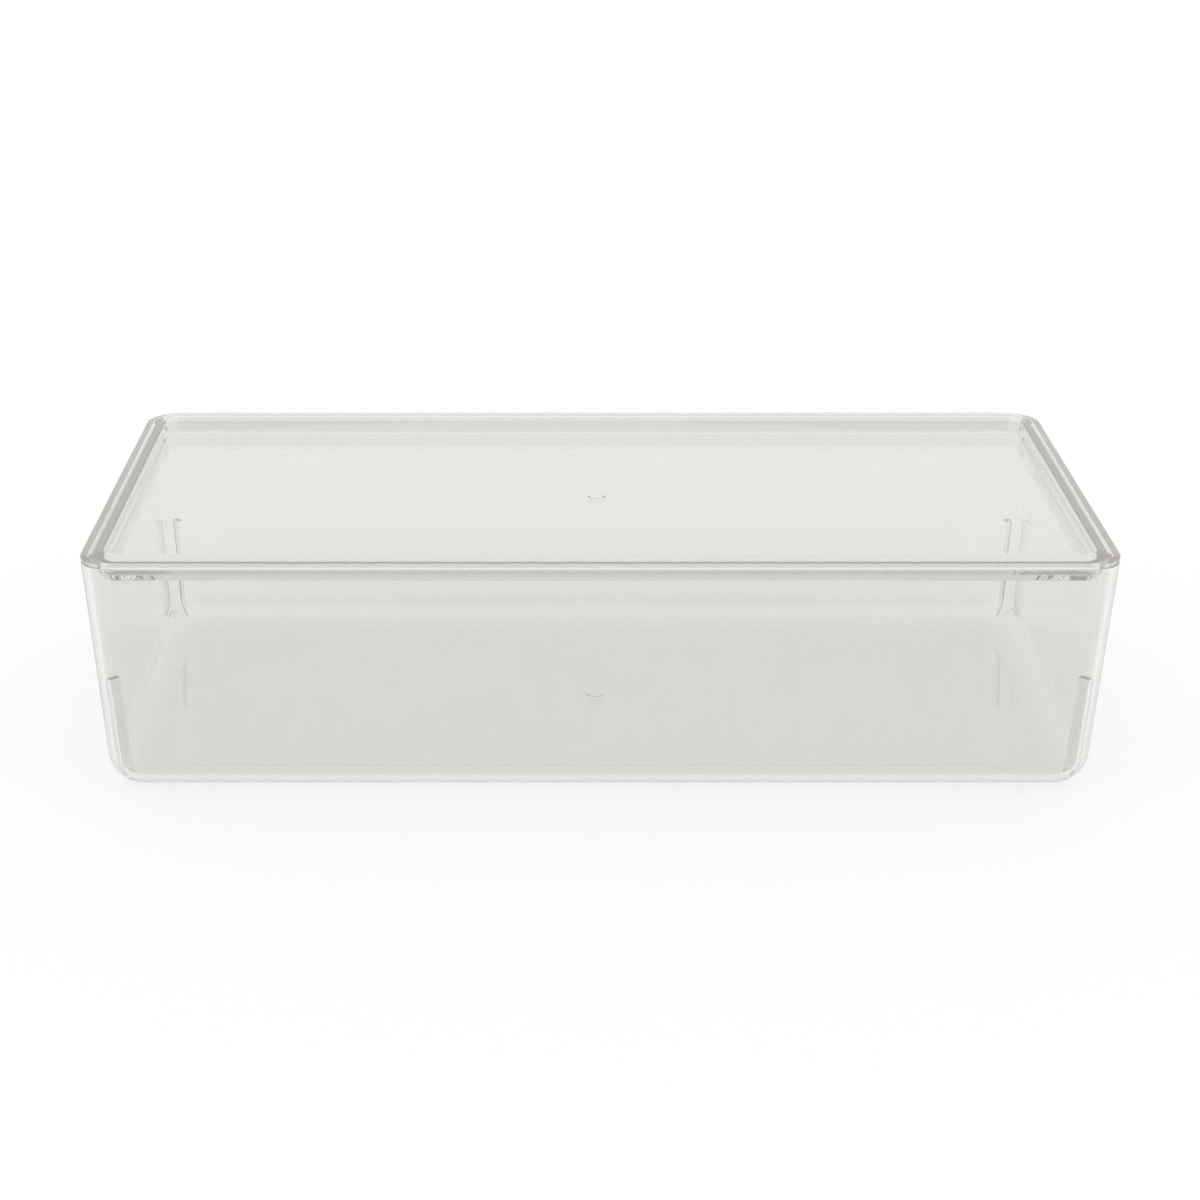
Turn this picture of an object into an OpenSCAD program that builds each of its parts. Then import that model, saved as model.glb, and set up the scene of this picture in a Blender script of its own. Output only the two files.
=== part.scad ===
// Clear storage box: a drafted tray and a lift-off lid, millimetres, +Z up.
// The origin is at the centre of the base, on the surface that the box stands on.

/* [Tray] */
// Width across the rim
rim_w = 305; // [160:1:480]
// Depth across the rim, front to back
rim_d = 152.5; // [90:0.5:320]
// Height of the rim above the base
rim_h = 73.6; // [45:0.1:160]
// Thickness of the walls and the floor
wall = 2.4; // [1.6:0.1:3.4]
// Lean of the walls, outwards going up, in degrees
draft = 3.3; // [1:0.1:6]
// Outside radius of the upright corners and of the bottom edges
corner_r = 11; // [9.5:0.1:18]

/* [Nesting ribs] */
// Thickness of the rib in each inside corner
rib_t = 2; // [1:0.1:4]
// How far each rib stands in from the corner's inside
rib_reach = 3; // [1.5:0.1:5]
// Height of the ribs' tops above the base
rib_top = 36.8; // [25:0.1:40]

/* [Lid border] */
// Height of the lid's outer edge above the rim
edge_h = 1.3; // [0.8:0.1:2]
// Height of the border's crest above the rim
crest_h = 2.5; // [2.1:0.1:5]
// Width of the border, from the outer edge to the recess
border_w = 7.1; // [6.5:0.1:8]
// Width of the crest's level top
crest_w = 0.9; // [0.7:0.1:2]

/* [Lid panel and plug] */
// Depth of the panel's top below the rim
panel_drop = 3.1; // [1:0.1:10]
// Thickness of the panel
panel_t = 2.2; // [1.6:0.1:4]
// Clearance between the plug and the tray's wall, all round
plug_gap = 0.5; // [0.3:0.1:1.2]
// Distance of the plug's bottom edge from the lid's outer edge
plug_toe = 6.2; // [5.6:0.1:6.4]

/* [Edge rounding] */
// Radius of the lid's outer edge and of the recess's foot
edge_r = 0.3; // [0.1:0.05:0.35]
// Radius along the crest and along the plug's bottom edge
crest_r = 0.5; // [0.1:0.05:0.6]

/* [Hidden] */
clear_tint = [0.86, 0.88, 0.86, 0.35];
slope = tan(draft);
// Centres of the balls that round the tray's bottom corners
ball_x = rim_w / 2 - (rim_h - corner_r) * slope - corner_r / cos(draft);
ball_y = rim_d / 2 - (rim_h - corner_r) * slope - corner_r / cos(draft);
// The corner lines run on above the rim, and the tray is cut off there
over = rim_h + corner_r;
// Lean of a corner line along the diagonal
corner_lean = atan(slope * sqrt(2));
ball_facets = 48;
// Half the straight length of the lid's sides
side_x = rim_w / 2 - corner_r;
side_y = rim_d / 2 - corner_r;
arc_steps = 4;
arc_facets = 64;

// Rounded, drafted block whose surface lies inset inside the tray's outside, open-ended upwards
module block(inset) {
    r = corner_r - inset;
    hull() {
        translate([-ball_x, -ball_y, inset]) cube([2 * ball_x, 2 * ball_y, r]);
        for (sx = [-1, 1], sy = [-1, 1], rise = [0, over]) {
            x = sx * (ball_x + rise * slope);
            y = sy * (ball_y + rise * slope);
            translate([x, y, corner_r + rise]) sphere(r, $fn = ball_facets);
        }
    }
}

// One slab standing on the diagonal of a corner, parallel to the corner's line
module corner_slab() {
    tip = corner_r - wall - rib_reach;
    rotate([0, 0, 45])
        rotate([0, corner_lean, 0])
            translate([tip, -rib_t / 2, -2 * corner_r])
                cube([rib_reach + wall, rib_t, rim_h + 2 * corner_r]);
}

// Ribs in the four inside corners: their tops stop a nested tray from wedging
module ribs() {
    intersection() {
        block(wall / 2);
        translate([-rim_w / 2, -rim_d / 2, 0]) cube([rim_w, rim_d, rib_top]);
        for (sx = [0, 1], sy = [0, 1])
            mirror([sx, 0, 0]) mirror([0, sy, 0])
                translate([ball_x, ball_y, corner_r]) corner_slab();
    }
}

module tray() {
    color(clear_tint) {
        difference() {
            block(0);
            block(wall);
            translate([-rim_w, -rim_d, rim_h]) cube([2 * rim_w, 2 * rim_d, over + 2 * corner_r]);
        }
        ribs();
    }
}

// Points of the arc of radius r that rounds corner b of the path a, b, c
function rounded(a, b, c, r) =
    let (
        u = (a - b) / norm(a - b),
        v = (c - b) / norm(c - b),
        half = acos(u * v) / 2,
        middle = b + (u + v) / norm(u + v) * r / sin(half),
        start = b + u * r / tan(half) - middle,
        end = b + v * r / tan(half) - middle,
        sweep = 180 - 2 * half
    )
    [for (i = [0 : arc_steps])
        middle + (start * sin(sweep * (1 - i / arc_steps)) + end * sin(sweep * i / arc_steps)) / sin(sweep)];

// Section through the lid's border: x is the distance from the corner's axis, y the height above the rim
module border_section() {
    bottom = -panel_drop - panel_t;
    inner_top = [0, -panel_drop];
    foot = [corner_r - border_w, -panel_drop];
    crest_in = [corner_r - border_w, crest_h];
    crest_out = [corner_r - border_w + crest_w, crest_h];
    edge_top = [corner_r, edge_h];
    edge_bottom = [corner_r, 0];
    plug_root = [corner_r - wall - plug_gap, 0];
    toe = [corner_r - plug_toe, bottom];
    inner_bottom = [0, bottom];
    polygon(concat(
        [inner_top],
        rounded(inner_top, foot, crest_in, edge_r),
        rounded(foot, crest_in, crest_out, crest_r * 0.7),
        rounded(crest_in, crest_out, edge_top, crest_r),
        rounded(crest_out, edge_top, edge_bottom, edge_r),
        [edge_bottom, plug_root],
        rounded(plug_root, toe, inner_bottom, crest_r),
        [inner_bottom]
    ));
}

module border() {
    for (sx = [0, 1], sy = [0, 1])
        mirror([sx, 0, 0]) mirror([0, sy, 0])
            translate([side_x, side_y, 0])
                rotate_extrude(angle = 90, $fn = arc_facets) border_section();
    for (s = [0, 1]) {
        mirror([0, s, 0])
            translate([-side_x, side_y, 0])
                rotate([90, 0, 90]) linear_extrude(2 * side_x) border_section();
        mirror([s, 0, 0])
            translate([side_x, side_y, 0])
                rotate([90, 0, 0]) linear_extrude(2 * side_y) border_section();
    }
}

module lid() {
    color(clear_tint)
        translate([0, 0, rim_h]) {
            border();
            translate([-side_x, -side_y, -panel_drop - panel_t])
                cube([2 * side_x, 2 * side_y, panel_t]);
        }
}

tray();
lid();
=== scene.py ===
"""Clear storage box with a lift-off lid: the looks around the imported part, in metres."""
import math

import bmesh
import bpy
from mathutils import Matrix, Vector


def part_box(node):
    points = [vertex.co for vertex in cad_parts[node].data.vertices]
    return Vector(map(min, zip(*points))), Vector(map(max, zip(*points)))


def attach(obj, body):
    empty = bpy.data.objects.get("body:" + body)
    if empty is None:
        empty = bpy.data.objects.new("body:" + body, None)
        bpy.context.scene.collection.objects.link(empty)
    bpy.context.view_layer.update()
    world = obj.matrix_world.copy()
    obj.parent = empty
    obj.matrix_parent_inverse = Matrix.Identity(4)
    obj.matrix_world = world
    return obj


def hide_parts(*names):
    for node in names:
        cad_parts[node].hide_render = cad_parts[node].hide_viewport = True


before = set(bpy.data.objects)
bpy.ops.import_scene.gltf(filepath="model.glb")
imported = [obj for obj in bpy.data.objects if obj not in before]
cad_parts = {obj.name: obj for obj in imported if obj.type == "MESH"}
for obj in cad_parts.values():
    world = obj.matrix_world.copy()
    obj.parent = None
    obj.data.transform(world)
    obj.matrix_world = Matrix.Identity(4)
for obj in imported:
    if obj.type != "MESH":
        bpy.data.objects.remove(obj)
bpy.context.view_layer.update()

# Sizes are in millimetres, unless their names end in _M or _PX
MM = 0.001
WELD_M = 1e-7

# Tray: its width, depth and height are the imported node's
tray_low, tray_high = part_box("tray")
RIM_W, RIM_D, RIM_H = [round((high - low) / MM, 2) for low, high in zip(tray_low, tray_high)]
WALL = 2.4
DRAFT = math.radians(3.3)
CORNER_R = 11.0
RIM_EDGE_R = 0.35

# Nesting ribs
RIB_T = 2.0
RIB_REACH = 3.0
RIB_TOP = 36.8

# Lid: distances from its outer edge, heights from the rim
EDGE_H = 1.3
CREST_H = 2.5
BORDER_W = 7.1
CREST_W = 0.9
PANEL_DROP = 3.1
PANEL_T = 2.2
PLUG_GAP = 0.5
PLUG_TOE = 6.2
PLUG_ROOT_R = 0.1
EDGE_R = 0.3
CREST_R = 0.5
CREST_INNER_R = 0.35
SWEEP_DEPTH = 15.0
REST_GAP = 0.02

# Gate marks, where the plastic entered the moulds: faint round swells
GATE_R = 3.0
GATE_SWELL = 0.25
GATE_SEGMENTS = 48
GATE_RINGS = 24

# Mesh density
CORNER_STEPS = 24
ARC_STEPS = 14
FILLET_STEPS = 6
SHARP_ANGLE = math.radians(35)

# Painted glow: where the last bounce cuts a path off inside the plastic, the plastic emits a faint light
# there instead of going black, standing in for the light that path would have carried
BOUNCES = 18
PAINTED_TRAPPED_GLOW = 0.2
PAINTED_GLOW_COLOUR = (1, 0.97, 0.88)

# Clear plastic: the surface's tint, and the tint that grows with the thickness
IOR = 1.49
SURFACE_TINT = (0.868, 0.866, 0.852)
TINT_VARIATION = 1.012
DEPTH_TINT = (0.84, 0.83, 0.7)
DEPTH_DENSITY = 2.0
ROUGHEST = 0.012
POLISH_DETAIL = 3.0
TRAY_POLISH_SCALE = 22.0
LID_POLISH_SCALE = 26.0

# Floor: it lies a hair under the base, and glows so that it looks white where no shadow falls
FLOOR_SIZE_M = 12
FLOOR_PLACE_M = (0, 3, -0.0003)
FLOOR_GREY = 0.22
FLOOR_GLOW = 0.8

# Surround: brightness round about, in the dark opening, and where the camera sees it directly
SURROUND = 0.95
OPENING = 0.05
BACKGROUND = 1.0

# The opening's edge and darkest middle are cosines of the angle from its direction
OPENING_DIRECTION = (0, -1, 0.15)
OPENING_EDGE = 0.75
OPENING_CORE = 1.0

# Camera, solved from the box's edges in the photograph
PHOTO_PX = 1200
FOCAL_PX = 2512.4
SENSOR_MM = 36.0
CENTRE_X_PX = 551.2
CAMERA_MM = (-14.39, -758.03, 327.70)
CAMERA_PITCH = math.radians(21.122)


def fillet_path(points):
    """Polyline through (x, z, radius) points, with an arc at each point that has a radius."""
    path = []
    for k, (x, z, radius) in enumerate(points):
        if radius <= 0 or k in (0, len(points) - 1):
            path.append((x, z))
            continue
        corner = Vector((x, z))
        back = (Vector(points[k - 1][:2]) - corner).normalized()
        ahead = (Vector(points[k + 1][:2]) - corner).normalized()
        half = math.acos(back.dot(ahead)) / 2
        centre = corner + (back + ahead).normalized() * (radius / math.sin(half))
        start = corner + back * (radius / math.tan(half)) - centre
        end = corner + ahead * (radius / math.tan(half)) - centre
        path += [tuple(centre + p) for p in arc(start, end, FILLET_STEPS)]
    return path


def arc(start, end, steps):
    """Vectors that turn evenly from start to end, both included."""
    angle = start.angle(end)
    turns = [angle * k / steps for k in range(steps + 1)]
    return [(start * math.sin(angle - t) + end * math.sin(t)) / math.sin(angle) for t in turns]


def finish_mesh(bm, name):
    """Welds and orients a mesh, and puts it in the scene."""
    bmesh.ops.remove_doubles(bm, verts=bm.verts, dist=WELD_M)
    bmesh.ops.recalc_face_normals(bm, faces=bm.faces)
    mesh = bpy.data.meshes.new(name)
    bm.to_mesh(mesh)
    bm.free()
    piece = bpy.data.objects.new(name, mesh)
    bpy.context.collection.objects.link(piece)
    return piece


def smooth(piece):
    """Smooth shading that keeps sharp edges, with the flat walls' own normals up to their rounded edges."""
    bm = bmesh.new()
    bm.from_mesh(piece.data)
    for face in bm.faces:
        face.smooth = True
    for edge in bm.edges:
        edge.smooth = edge.calc_face_angle(0) < SHARP_ANGLE
    bm.to_mesh(piece.data)
    bm.free()
    weighted = piece.modifiers.new("weighted", "WEIGHTED_NORMAL")
    weighted.weight = 100
    weighted.keep_sharp = True
    seen = piece.evaluated_get(bpy.context.evaluated_depsgraph_get())
    piece.data = bpy.data.meshes.new_from_object(seen)
    piece.modifiers.clear()


def ball_centre(sx, sy):
    """Centre of the ball that rounds a bottom corner of the tray."""
    lean = (RIM_H - CORNER_R) * math.tan(DRAFT) + CORNER_R / math.cos(DRAFT)
    return Vector((sx * (RIM_W / 2 - lean), sy * (RIM_D / 2 - lean), CORNER_R))


def corner_line(sx, sy):
    """Direction of the tray's leaning corner, going up."""
    return Vector((sx * math.tan(DRAFT), sy * math.tan(DRAFT), 1)).normalized()


def tray_columns(radius, top):
    """Columns of points from the rim down to the floor, all round, on balls of one radius."""
    columns = []
    down = Vector((0, 0, -1))
    for sx, sy in ((1, -1), (1, 1), (-1, 1), (-1, -1)):
        centre = ball_centre(sx, sy)
        line = corner_line(sx, sy)
        side = Vector((sx * math.cos(DRAFT), 0, -math.sin(DRAFT)))
        end = Vector((0, sy * math.cos(DRAFT), -math.sin(DRAFT)))
        first, last = (end, side) if sx * sy < 0 else (side, end)
        for normal in arc(first, last, CORNER_STEPS):
            rise = (top - CORNER_R - radius * normal.z) / line.z
            column = [centre + line * rise + normal * radius]
            column += [centre + turned * radius for turned in arc(normal, down, ARC_STEPS)]
            columns.append(column)
    return columns


def rim_edge(outer, inner):
    """Points over the rounded rim, from the outer wall to the inner one."""
    across = (inner - outer) * Vector((1, 1, 0))
    across.normalize()
    up = Vector((0, 0, RIM_EDGE_R))
    inwards = across * RIM_EDGE_R
    over_outer = [outer + inwards + p for p in arc(-inwards, up, FILLET_STEPS)]
    over_inner = [inner - inwards + p for p in arc(up, inwards, FILLET_STEPS)]
    return over_outer[1:] + over_inner[:-1]


def tray_shell():
    """The tray's walls and floor as one closed shell."""
    bm = bmesh.new()
    top = RIM_H - RIM_EDGE_R
    loops = []
    for outer, inner in zip(tray_columns(CORNER_R, top), tray_columns(CORNER_R - WALL, top)):
        column = outer[::-1] + rim_edge(outer[0], inner[0]) + inner
        loops.append([bm.verts.new(point * MM) for point in column])
    for here, after in zip(loops, loops[1:] + loops[:1]):
        for k in range(len(here) - 1):
            bm.faces.new([here[k], after[k], after[k + 1], here[k + 1]])
    bm.faces.new([loop[0] for loop in loops])
    bm.faces.new([loop[-1] for loop in loops])
    return finish_mesh(bm, "tray_shell")


def rib_bar(sx, sy):
    """One upright bar on a corner's diagonal, from the middle of the wall to the rib's free edge."""
    bm = bmesh.new()
    centre = ball_centre(sx, sy)
    line = corner_line(sx, sy)
    outwards = Vector((sx, sy, 0)).normalized()
    across = Vector((-sy, sx, 0)).normalized() * (RIB_T / 2)
    near = CORNER_R - WALL - RIB_REACH
    far = CORNER_R - WALL / 2
    first = math.asin(near / far)
    turns = [first + (math.pi / 2 - first) * k / FILLET_STEPS for k in range(FILLET_STEPS + 1)]
    edge = [(CORNER_R - far * math.cos(turn), far * math.sin(turn)) for turn in turns]
    rings = []
    for height, reach in [*edge, (RIB_TOP, far)]:
        foot = centre + line * ((height - CORNER_R) / line.z)
        inner = foot + outwards * near
        outer = foot + outwards * reach
        points = (inner - across, inner + across, outer + across, outer - across)
        rings.append([bm.verts.new(point * MM) for point in points])
    for low, high in zip(rings, rings[1:]):
        for k in range(4):
            bm.faces.new([low[k], low[(k + 1) % 4], high[(k + 1) % 4], high[k]])
    bm.faces.new(rings[-1])
    return finish_mesh(bm, "rib")


def gate_swell(height):
    """Flat ball whose top stands just proud of a level face in the middle of the box."""
    bm = bmesh.new()
    bmesh.ops.create_uvsphere(bm, u_segments=GATE_SEGMENTS, v_segments=GATE_RINGS, radius=1.0)
    for vert in bm.verts:
        unit = vert.co
        vert.co = Vector((unit.x * GATE_R, unit.y * GATE_R, height + unit.z * GATE_SWELL)) * MM
    return finish_mesh(bm, "gate_swell")


def joined(shell, bars, name):
    """The shell with the bars fused into it as one closed mesh."""
    for bar in bars:
        fuse = shell.modifiers.new("fuse", "BOOLEAN")
        fuse.operation = "UNION"
        fuse.solver = "EXACT"
        fuse.object = bar
    baked = bpy.data.meshes.new_from_object(shell.evaluated_get(bpy.context.evaluated_depsgraph_get()))
    piece = bpy.data.objects.new(name, baked)
    bpy.context.collection.objects.link(piece)
    for used in [shell, *bars]:
        bpy.data.objects.remove(used)
    return piece


def make_tray():
    """The tray: its shell, the four ribs and the gate mark in one mesh."""
    bars = [rib_bar(sx, sy) for sx in (-1, 1) for sy in (-1, 1)]
    tray = joined(tray_shell(), [*bars, gate_swell(WALL)], "tray_clear")
    smooth(tray)
    return tray


def ring(bm, inset, height):
    """Loop of points that runs round the lid at one distance from its outer edge."""
    points = []
    radius = max(CORNER_R - inset, 0.0)
    back = max(CORNER_R, inset)
    for sx, sy, start in ((1, -1, -90), (1, 1, 0), (-1, 1, 90), (-1, -1, 180)):
        for k in range(CORNER_STEPS + 1):
            angle = math.radians(start + 90 * k / CORNER_STEPS)
            x = sx * (RIM_W / 2 - back) + radius * math.cos(angle)
            y = sy * (RIM_D / 2 - back) + radius * math.sin(angle)
            points.append(bm.verts.new(Vector((x, y, RIM_H + height)) * MM))
    return points


def make_lid():
    """The lid: its section swept round the box, closed by the panel's two faces."""
    bottom = -PANEL_DROP - PANEL_T
    root = WALL + PLUG_GAP
    section = fillet_path([
        (SWEEP_DEPTH, bottom, 0),
        (PLUG_TOE, bottom, CREST_R),
        (root, REST_GAP, PLUG_ROOT_R),
        (0, REST_GAP, EDGE_R),
        (0, EDGE_H, EDGE_R),
        (BORDER_W - CREST_W, CREST_H, CREST_R),
        (BORDER_W, CREST_H, CREST_INNER_R),
        (BORDER_W, -PANEL_DROP, EDGE_R),
        (SWEEP_DEPTH, -PANEL_DROP, 0),
    ])
    bm = bmesh.new()
    rings = [ring(bm, inset, height) for inset, height in section]
    for low, high in zip(rings, rings[1:]):
        for k in range(len(low)):
            ahead = (k + 1) % len(low)
            bm.faces.new([low[k], low[ahead], high[ahead], high[k]])
    bm.faces.new(rings[0])
    bm.faces.new(rings[-1])
    lid = joined(finish_mesh(bm, "lid_shell"), [gate_swell(RIM_H - PANEL_DROP)], "lid_clear")
    smooth(lid)
    return lid


def product(nodes, links, socket, factor):
    """The value of a socket times a factor."""
    times = nodes.new("ShaderNodeMath")
    times.operation = "MULTIPLY"
    times.inputs[1].default_value = factor
    links.new(socket, times.inputs[0])
    return times.outputs[0]


def painted_glow_mask(nodes, links):
    """1 for the rays that the last bounce stops inside the plastic, where the plastic gets its painted
    glow.
    """
    path = nodes.new("ShaderNodeLightPath")
    trapped = nodes.new("ShaderNodeMath")
    trapped.operation = "GREATER_THAN"
    trapped.inputs[1].default_value = BOUNCES - 0.5
    links.new(path.outputs["Ray Depth"], trapped.inputs[0])
    return trapped.outputs[0]


def clear_plastic(name, scale):
    """Polished clear plastic: a faint warm tint that grows with thickness, and a slightly uneven polish."""
    material = bpy.data.materials.new(name)
    material.use_nodes = True
    material.cycles.emission_sampling = "NONE"
    nodes = material.node_tree.nodes
    links = material.node_tree.links
    shader = nodes["Principled BSDF"]
    shader.inputs["Transmission Weight"].default_value = 1.0
    shader.inputs["IOR"].default_value = IOR
    coords = nodes.new("ShaderNodeTexCoord")
    polish = nodes.new("ShaderNodeTexNoise")
    polish.inputs["Scale"].default_value = scale
    polish.inputs["Detail"].default_value = POLISH_DETAIL
    rough = nodes.new("ShaderNodeMapRange")
    rough.inputs["To Min"].default_value = 0.0
    rough.inputs["To Max"].default_value = ROUGHEST
    shade = nodes.new("ShaderNodeMix")
    shade.data_type = "RGBA"
    shade.inputs["A"].default_value = (*SURFACE_TINT, 1)
    shade.inputs["B"].default_value = (*[channel * TINT_VARIATION for channel in SURFACE_TINT], 1)
    links.new(coords.outputs["Object"], polish.inputs["Vector"])
    links.new(polish.outputs["Fac"], rough.inputs["Value"])
    links.new(rough.outputs["Result"], shader.inputs["Roughness"])
    links.new(polish.outputs["Fac"], shade.inputs["Factor"])
    links.new(shade.outputs["Result"], shader.inputs["Base Color"])
    # Painted glow: the plastic emits a faint warm light where the last bounce stops a ray inside it
    shader.inputs["Emission Color"].default_value = (*PAINTED_GLOW_COLOUR, 1)
    glow = product(nodes, links, painted_glow_mask(nodes, links), PAINTED_TRAPPED_GLOW)
    links.new(glow, shader.inputs["Emission Strength"])
    volume = nodes.new("ShaderNodeVolumeAbsorption")
    volume.inputs["Color"].default_value = (*DEPTH_TINT, 1)
    volume.inputs["Density"].default_value = DEPTH_DENSITY
    links.new(volume.outputs["Volume"], nodes["Material Output"].inputs["Volume"])
    return material


def white_seen(nodes, links):
    """1 for the rays that should see the pale background: camera, glossy and transmission rays."""
    path = nodes.new("ShaderNodeLightPath")
    seen = path.outputs["Is Camera Ray"]
    for kind in ("Is Glossy Ray", "Is Transmission Ray"):
        either = nodes.new("ShaderNodeMath")
        either.operation = "MAXIMUM"
        links.new(seen, either.inputs[0])
        links.new(path.outputs[kind], either.inputs[1])
        seen = either.outputs[0]
    return seen


def make_floor():
    """Pale floor that keeps the box's shadow."""
    bpy.ops.mesh.primitive_plane_add(size=FLOOR_SIZE_M, location=FLOOR_PLACE_M)
    floor = bpy.context.object
    floor.name = "floor"
    material = bpy.data.materials.new("floor")
    material.use_nodes = True
    material.cycles.emission_sampling = "NONE"
    nodes = material.node_tree.nodes
    links = material.node_tree.links
    shader = nodes["Principled BSDF"]
    shader.inputs["Base Color"].default_value = (FLOOR_GREY, FLOOR_GREY, FLOOR_GREY, 1)
    shader.inputs["Roughness"].default_value = 1.0
    shader.inputs["Specular IOR Level"].default_value = 0.0
    shader.inputs["Emission Color"].default_value = (1, 1, 1, 1)
    glow = product(nodes, links, white_seen(nodes, links), FLOOR_GLOW)
    links.new(glow, shader.inputs["Emission Strength"])
    floor.data.materials.append(material)


def make_world():
    """Even white surround with a soft dark opening on the camera's side, which draws the edges."""
    world = bpy.data.worlds.new("studio")
    bpy.context.scene.world = world
    world.use_nodes = True
    nodes = world.node_tree.nodes
    links = world.node_tree.links
    background = nodes["Background"]
    coords = nodes.new("ShaderNodeTexCoord")
    facing = nodes.new("ShaderNodeVectorMath")
    facing.operation = "DOT_PRODUCT"
    facing.inputs[1].default_value = Vector(OPENING_DIRECTION).normalized()
    opening = nodes.new("ShaderNodeMapRange")
    opening.interpolation_type = "SMOOTHSTEP"
    opening.inputs["From Min"].default_value = OPENING_EDGE
    opening.inputs["From Max"].default_value = OPENING_CORE
    opening.inputs["To Min"].default_value = SURROUND
    opening.inputs["To Max"].default_value = OPENING
    level = nodes.new("ShaderNodeMix")
    level.data_type = "FLOAT"
    level.inputs["B"].default_value = BACKGROUND
    path = nodes.new("ShaderNodeLightPath")
    links.new(coords.outputs["Generated"], facing.inputs[0])
    links.new(facing.outputs["Value"], opening.inputs["Value"])
    links.new(path.outputs["Is Camera Ray"], level.inputs["Factor"])
    links.new(opening.outputs["Result"], level.inputs["A"])
    links.new(level.outputs["Result"], background.inputs["Strength"])
    background.inputs["Color"].default_value = (1, 1, 1, 1)


def make_camera():
    """The photograph's camera."""
    data = bpy.data.cameras.new("camera")
    data.sensor_width = SENSOR_MM
    data.lens = FOCAL_PX / PHOTO_PX * SENSOR_MM
    data.shift_x = (PHOTO_PX / 2 - CENTRE_X_PX) / PHOTO_PX
    camera = bpy.data.objects.new("camera", data)
    camera.location = [value * MM for value in CAMERA_MM]
    camera.rotation_euler = (math.pi / 2 - CAMERA_PITCH, 0, 0)
    bpy.context.collection.objects.link(camera)
    bpy.context.scene.camera = camera


make_camera()
make_world()
make_floor()

tray = make_tray()
tray.data.materials.append(clear_plastic("tray_plastic", TRAY_POLISH_SCALE))
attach(tray, "tray")
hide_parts("tray")

lid = make_lid()
lid.data.materials.append(clear_plastic("lid_plastic", LID_POLISH_SCALE))
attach(lid, "lid")
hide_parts("lid")

scene = bpy.context.scene
scene.view_settings.view_transform = "Standard"
scene.cycles.max_bounces = BOUNCES
scene.cycles.transmission_bounces = BOUNCES
scene.cycles.glossy_bounces = BOUNCES
scene.cycles.caustics_reflective = True
scene.cycles.caustics_refractive = True
